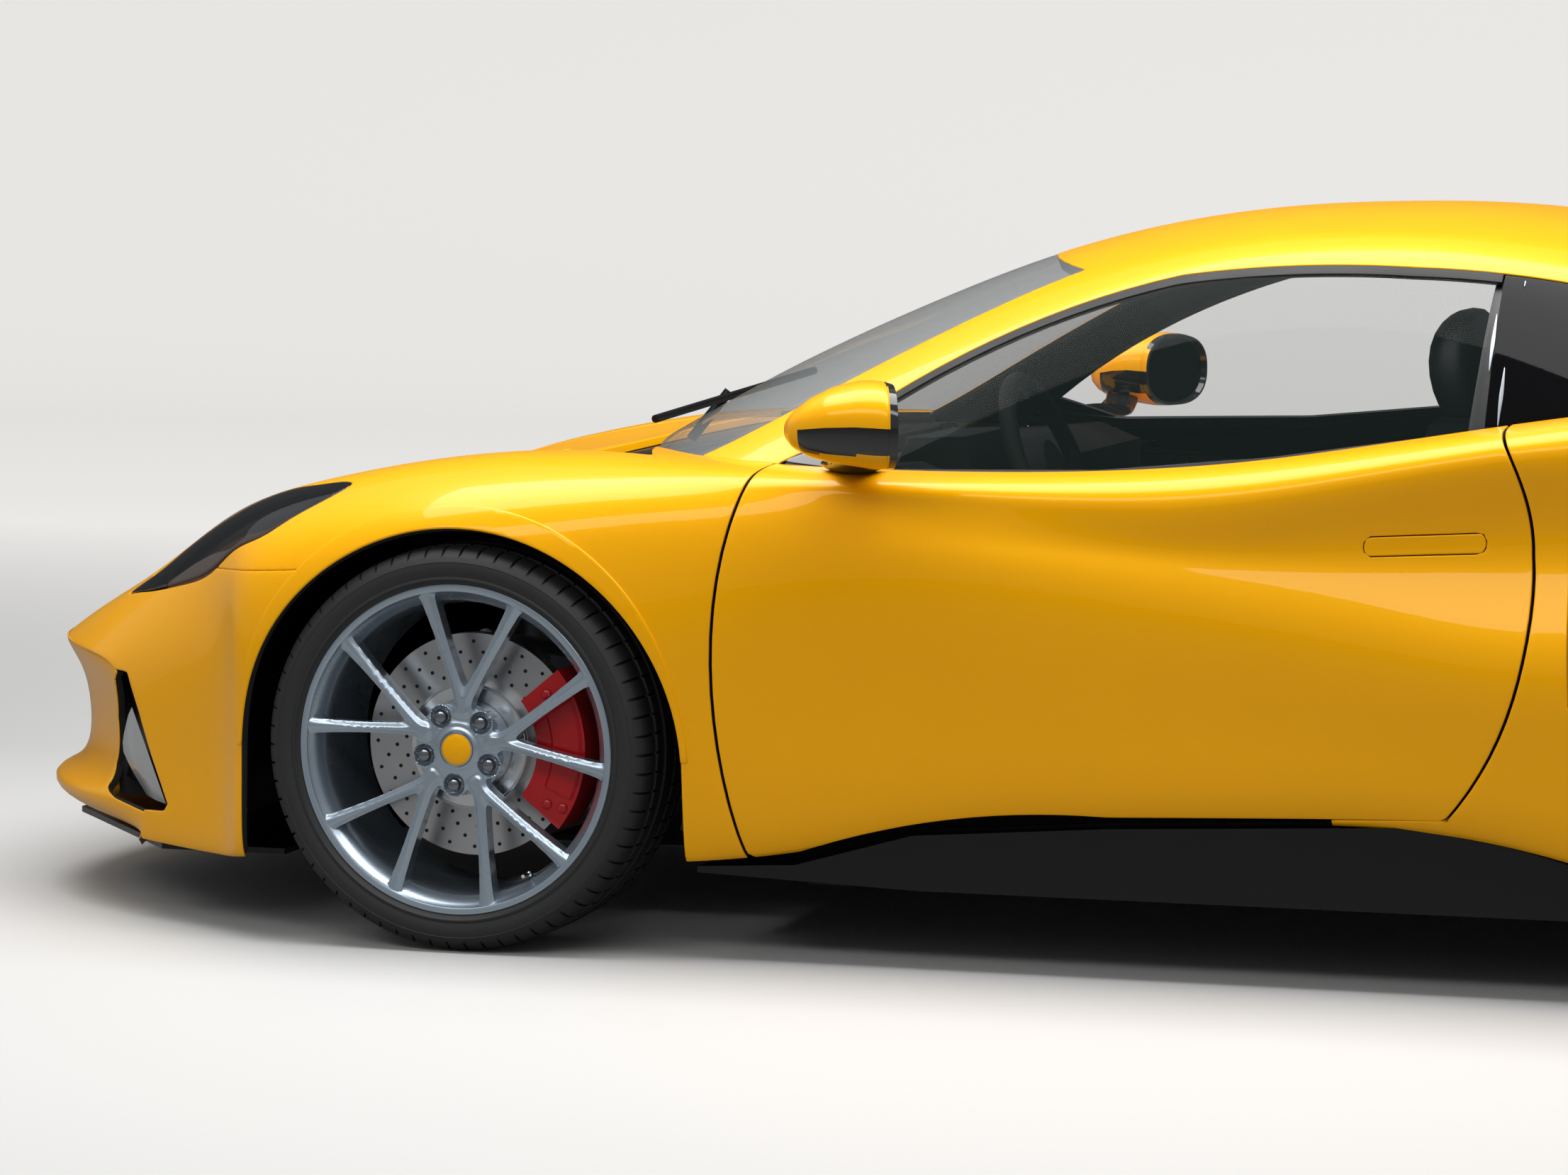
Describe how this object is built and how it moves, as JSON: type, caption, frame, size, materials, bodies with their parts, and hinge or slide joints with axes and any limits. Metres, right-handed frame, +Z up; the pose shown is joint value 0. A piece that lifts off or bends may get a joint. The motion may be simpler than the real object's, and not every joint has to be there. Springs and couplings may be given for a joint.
{
  "type": "two-seat coupe car",
  "caption": "Low two-seat mid-engined coupe with long sculpted doors, bonnet, tailgate, steered front wheels and a glazed two-seat cabin.",
  "frame": {"origin": "on the ground under the middle of the bounding box", "axes": "+X towards the tail, +Y towards the right-hand side of the car, +Z up"},
  "size_m": [4.4044, 2.102, 1.227],
  "materials": {
    "yellow_paint": "gloss",
    "tinted_glass": "clear",
    "structure": "satin",
    "black_plastic": "satin",
    "lamp_lens": "gloss",
    "red_lens": "gloss",
    "engine_casting": "rough",
    "bright_steel": "satin",
    "black_leather": "satin",
    "arm_alloy": "satin",
    "red_enamel": "gloss",
    "tyre_rubber": "matte",
    "silver_alloy": "satin",
    "brake_iron": "ground"
  },
  "bodies": {
    "body": {"rear_bumper": "yellow_paint", "front_bumper": "yellow_paint", "front_wings": "yellow_paint", "roof_frame": "yellow_paint", "rear_quarters": "yellow_paint", "windscreen": "tinted_glass", "quarter_windows": "tinted_glass", "chassis_tub": "structure", "undertray": "black_plastic", "wheel_liners": "black_plastic", "cowl": "black_plastic", "front_grilles": "black_plastic", "side_intakes": "black_plastic", "diffuser": "black_plastic", "side_skirts": "black_plastic", "wipers": "black_plastic", "dashboard": "black_plastic", "panel_seals": "black_plastic", "headlamps": "lamp_lens", "tail_lamps": "red_lens", "engine": "engine_casting", "exhaust": "bright_steel", "seats": "black_leather", "front_suspension": "arm_alloy", "rear_suspension": "arm_alloy", "caliper_rear": "red_enamel"},
    "door_left": {"door_left": "yellow_paint", "door_glass_left": "tinted_glass", "mirror_left": "yellow_paint"},
    "door_right": {"door_right": "yellow_paint", "door_glass_right": "tinted_glass", "mirror_right": "yellow_paint"},
    "bonnet": {"bonnet": "yellow_paint"},
    "tailgate": {"tailgate": "yellow_paint", "rear_window": "tinted_glass"},
    "knuckle_left": {"upright_front_left": "arm_alloy", "caliper_front_left": "red_enamel"},
    "knuckle_right": {"upright_front_right": "arm_alloy", "caliper_front_right": "red_enamel"},
    "steering_wheel": {"steering_wheel": "black_leather"},
    "wheel_front_left": {"tyre_front_left": "tyre_rubber", "rim_front_left": "silver_alloy", "disc_front_left": "brake_iron"},
    "wheel_front_right": {"tyre_front_right": "tyre_rubber", "rim_front_right": "silver_alloy", "disc_front_right": "brake_iron"},
    "wheel_rear_left": {"tyre_rear_left": "tyre_rubber", "rim_rear_left": "silver_alloy", "disc_rear_left": "brake_iron"},
    "wheel_rear_right": {"tyre_rear_right": "tyre_rubber", "rim_rear_right": "silver_alloy", "disc_rear_right": "brake_iron"}
  },
  "joints": [
    {"name": "door_left_hinge", "type": "hinge", "parent": "body", "child": "door_left", "pos_m": [-0.652, -0.906, 0.5], "axis": [0, 0, -1], "range_deg": [0, 62]},
    {"name": "door_right_hinge", "type": "hinge", "parent": "body", "child": "door_right", "pos_m": [-0.652, 0.906, 0.5], "axis": [0, 0, 1], "range_deg": [0, 62]},
    {"name": "bonnet_hinge", "type": "hinge", "parent": "body", "child": "bonnet", "pos_m": [-1.062, 0, 0.816], "axis": [0, 1, 0], "range_deg": [0, 50]},
    {"name": "tailgate_hinge", "type": "hinge", "parent": "body", "child": "tailgate", "pos_m": [0.613, 0, 1.203], "axis": [0, -1, 0], "range_deg": [0, 55]},
    {"name": "steer_left", "type": "hinge", "parent": "body", "child": "knuckle_left", "pos_m": [-1.156, -0.77, 0.336], "axis": [0, 0, 1], "range_deg": [-28, 28]},
    {"name": "steer_right", "type": "hinge", "parent": "body", "child": "knuckle_right", "pos_m": [-1.156, 0.77, 0.336], "axis": [0, 0, 1], "range_deg": [-28, 28]},
    {"name": "steering_wheel_turn", "type": "hinge", "parent": "body", "child": "steering_wheel", "pos_m": [-0.29, -0.365, 0.767], "axis": [0.9272, 0, 0.3746], "range_deg": [-340, 340]},
    {"name": "spin_front_left", "type": "hinge", "parent": "knuckle_left", "child": "wheel_front_left", "pos_m": [-1.156, -0.803, 0.336], "axis": [0, 1, 0], "continuous": true},
    {"name": "spin_front_right", "type": "hinge", "parent": "knuckle_right", "child": "wheel_front_right", "pos_m": [-1.156, 0.803, 0.336], "axis": [0, 1, 0], "continuous": true},
    {"name": "spin_rear_left", "type": "hinge", "parent": "body", "child": "wheel_rear_left", "pos_m": [1.419, -0.792, 0.339], "axis": [0, 1, 0], "continuous": true},
    {"name": "spin_rear_right", "type": "hinge", "parent": "body", "child": "wheel_rear_right", "pos_m": [1.419, 0.792, 0.339], "axis": [0, 1, 0], "continuous": true}
  ],
  "couplings": [
    {"joint": "steer_right", "follows": "steer_left", "ratio": 1},
    {"joint": "steering_wheel_turn", "follows": "steer_left", "ratio": 12}
  ]
}
